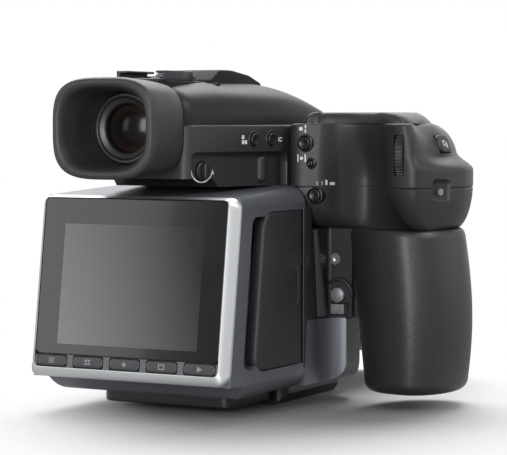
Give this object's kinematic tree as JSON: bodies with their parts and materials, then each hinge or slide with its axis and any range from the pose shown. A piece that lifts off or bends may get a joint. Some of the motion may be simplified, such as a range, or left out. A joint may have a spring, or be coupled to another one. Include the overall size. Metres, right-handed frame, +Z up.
{
  "type": "medium format digital camera",
  "caption": "Modular medium format camera with a leaning rear display, prism finder with eyecup, sculpted right-hand grip and a short ribbed lens.",
  "frame": {"origin": "mouth of the large tripod socket in the base plate", "axes": "+X to the viewer's right, +Y towards the subject along the lens, +Z up"},
  "size_m": [0.1473, 0.205, 0.1308],
  "materials": {
    "black_plastic": "fine satin grain",
    "black_cover": "smooth satin",
    "black_metal": "satin black",
    "grey_paint": "satin slate grey",
    "silver": "fine bead-blasted",
    "steel": "brushed",
    "bright_steel": "polished",
    "grip_rubber": "grained",
    "soft_rubber": "smooth",
    "cover_glass": "polished",
    "optical_glass": "coated",
    "display": "dark panel",
    "silvered": "front-silvered",
    "board": "lacquered"
  },
  "bodies": {
    "camera": {"body_shell": "black_plastic", "side_fairing": "grey_paint", "base_plate": "black_metal", "lens_mount": "steel", "left_cover": "grip_rubber", "strap_lugs": "bright_steel", "body_screws": "bright_steel", "focusing_screen": "optical_glass", "back_housing": "grey_paint", "back_frame": "silver", "screen_glass": "cover_glass", "display_panel": "display", "button_bar": "black_cover", "card_slots": "black_cover", "image_sensor": "display", "sensor_filter": "optical_glass", "main_board": "board", "back_foot": "black_cover", "finder_base": "black_plastic", "finder_cover": "black_plastic", "prism": "optical_glass", "eyepiece_barrel": "black_metal", "eyepiece_lens": "optical_glass", "eyecup": "soft_rubber", "accessory_shoe": "silver", "grip_shell": "black_plastic", "grip_top": "black_cover", "top_display": "cover_glass", "battery_grip": "grip_rubber", "lens_barrel": "black_metal", "filter_ring": "black_metal", "front_element": "optical_glass", "rear_element": "optical_glass", "leaf_shutter": "black_metal"},
    "screen_key_1": {"screen_key_1": "black_cover"},
    "screen_key_2": {"screen_key_2": "black_cover"},
    "screen_key_3": {"screen_key_3": "black_cover"},
    "screen_key_4": {"screen_key_4": "black_cover"},
    "screen_key_5": {"screen_key_5": "black_cover"},
    "back_release": {"back_release": "silver"},
    "lock_slide": {"lock_slide": "black_cover"},
    "lens_release": {"lens_release": "black_cover"},
    "mirror_button": {"mirror_button": "black_cover"},
    "finder_key_rear": {"finder_key_rear": "black_cover"},
    "finder_key_front": {"finder_key_front": "black_cover"},
    "shutter_release": {"shutter_release": "black_cover"},
    "focus_key": {"focus_key": "black_cover"},
    "user_key": {"user_key": "black_cover"},
    "lock_key": {"lock_key": "black_cover"},
    "drive_key": {"drive_key": "black_cover"},
    "power_key": {"power_key": "black_cover"},
    "menu_key": {"menu_key": "black_cover"},
    "card_door": {"card_door": "black_cover"},
    "reflex_mirror": {"reflex_mirror": "silvered"},
    "flash_catch": {"flash_catch": "black_cover"},
    "dioptre_dial": {"dioptre_dial": "black_cover"},
    "flash_head": {"flash_head": "black_plastic"},
    "rear_wheel": {"rear_wheel": "grip_rubber"},
    "front_wheel": {"front_wheel": "grip_rubber"},
    "focus_ring": {"focus_ring": "grip_rubber"}
  },
  "joints": [
    {"name": "screen_key_1_press", "type": "slide", "parent": "camera", "child": "screen_key_1", "axis": [0, 0.9903, -0.1392], "range_m": [0, 0.0008], "stiffness_N_per_m": 300},
    {"name": "screen_key_2_press", "type": "slide", "parent": "camera", "child": "screen_key_2", "axis": [0, 0.9903, -0.1392], "range_m": [0, 0.0008], "stiffness_N_per_m": 300},
    {"name": "screen_key_3_press", "type": "slide", "parent": "camera", "child": "screen_key_3", "axis": [0, 0.9903, -0.1392], "range_m": [0, 0.0008], "stiffness_N_per_m": 300},
    {"name": "screen_key_4_press", "type": "slide", "parent": "camera", "child": "screen_key_4", "axis": [0, 0.9903, -0.1392], "range_m": [0, 0.0008], "stiffness_N_per_m": 300},
    {"name": "screen_key_5_press", "type": "slide", "parent": "camera", "child": "screen_key_5", "axis": [0, 0.9903, -0.1392], "range_m": [0, 0.0008], "stiffness_N_per_m": 300},
    {"name": "back_release_press", "type": "slide", "parent": "camera", "child": "back_release", "axis": [0, 1, 0], "range_m": [0, 0.0014], "stiffness_N_per_m": 300},
    {"name": "lock_slide_slide", "type": "slide", "parent": "camera", "child": "lock_slide", "axis": [1, 0, 0], "range_m": [0, 0.0014]},
    {"name": "lens_release_press", "type": "slide", "parent": "camera", "child": "lens_release", "axis": [0, -1, 0], "range_m": [0, 0.002], "stiffness_N_per_m": 300},
    {"name": "mirror_button_press", "type": "slide", "parent": "camera", "child": "mirror_button", "axis": [0, -1, 0], "range_m": [0, 0.0008], "stiffness_N_per_m": 300},
    {"name": "finder_key_rear_press", "type": "slide", "parent": "camera", "child": "finder_key_rear", "axis": [-0.9854, 0.1705, 0], "range_m": [0, 0.0008], "stiffness_N_per_m": 300},
    {"name": "finder_key_front_press", "type": "slide", "parent": "camera", "child": "finder_key_front", "axis": [-0.9854, 0.1705, 0], "range_m": [0, 0.0008], "stiffness_N_per_m": 300},
    {"name": "shutter_release_press", "type": "slide", "parent": "camera", "child": "shutter_release", "axis": [0, 0, -1], "range_m": [0, 0.0015], "stiffness_N_per_m": 300},
    {"name": "focus_key_press", "type": "slide", "parent": "camera", "child": "focus_key", "axis": [0, 1, 0], "range_m": [0, 0.0008], "stiffness_N_per_m": 300},
    {"name": "user_key_press", "type": "slide", "parent": "camera", "child": "user_key", "axis": [0, 1, 0], "range_m": [0, 0.0008], "stiffness_N_per_m": 300},
    {"name": "lock_key_press", "type": "slide", "parent": "camera", "child": "lock_key", "axis": [0, 1, 0], "range_m": [0, 0.0008], "stiffness_N_per_m": 300},
    {"name": "drive_key_press", "type": "slide", "parent": "camera", "child": "drive_key", "axis": [-0.9051, 0.0474, -0.4226], "range_m": [0, 0.0008], "stiffness_N_per_m": 300},
    {"name": "power_key_press", "type": "slide", "parent": "camera", "child": "power_key", "axis": [0, 0, -1], "range_m": [0, 0.0008], "stiffness_N_per_m": 300},
    {"name": "menu_key_press", "type": "slide", "parent": "camera", "child": "menu_key", "axis": [0, 0, -1], "range_m": [0, 0.0008], "stiffness_N_per_m": 300},
    {"name": "card_door_turn", "type": "hinge", "parent": "camera", "child": "card_door", "pos_m": [0.0409, -0.0292, 0.0472], "axis": [0, 0, 1], "range_deg": [0, 85]},
    {"name": "reflex_mirror_turn", "type": "hinge", "parent": "camera", "child": "reflex_mirror", "pos_m": [0, -0.0195, 0.073], "axis": [1, 0, 0], "range_deg": [0, 43]},
    {"name": "flash_catch_turn", "type": "hinge", "parent": "camera", "child": "flash_catch", "pos_m": [0.02397, -0.06771, 0.0923], "axis": [0.9854, -0.1705, 0], "range_deg": [0, 60], "stiffness_Nm_per_rad": 0.02},
    {"name": "dioptre_dial_turn", "type": "hinge", "parent": "camera", "child": "dioptre_dial", "pos_m": [-0.02457, -0.06426, 0.1025], "axis": [-0.9854, -0.1705, 0], "range_deg": [-60, 60]},
    {"name": "flash_head_turn", "type": "hinge", "parent": "camera", "child": "flash_head", "pos_m": [0, -0.0464, 0.1245], "axis": [1, 0, 0], "range_deg": [0, 60]},
    {"name": "rear_wheel_turn", "type": "hinge", "parent": "camera", "child": "rear_wheel", "pos_m": [0.0804, -0.0179, 0.098], "axis": [0.9511, 0.309, 0], "continuous": true},
    {"name": "front_wheel_turn", "type": "hinge", "parent": "camera", "child": "front_wheel", "pos_m": [0.074, 0.022, 0.096], "axis": [1, 0, 0], "continuous": true},
    {"name": "focus_ring_turn", "type": "hinge", "parent": "camera", "child": "focus_ring", "pos_m": [0, 0.073, 0.049], "axis": [0, 1, 0], "range_deg": [-30, 75]}
  ]
}
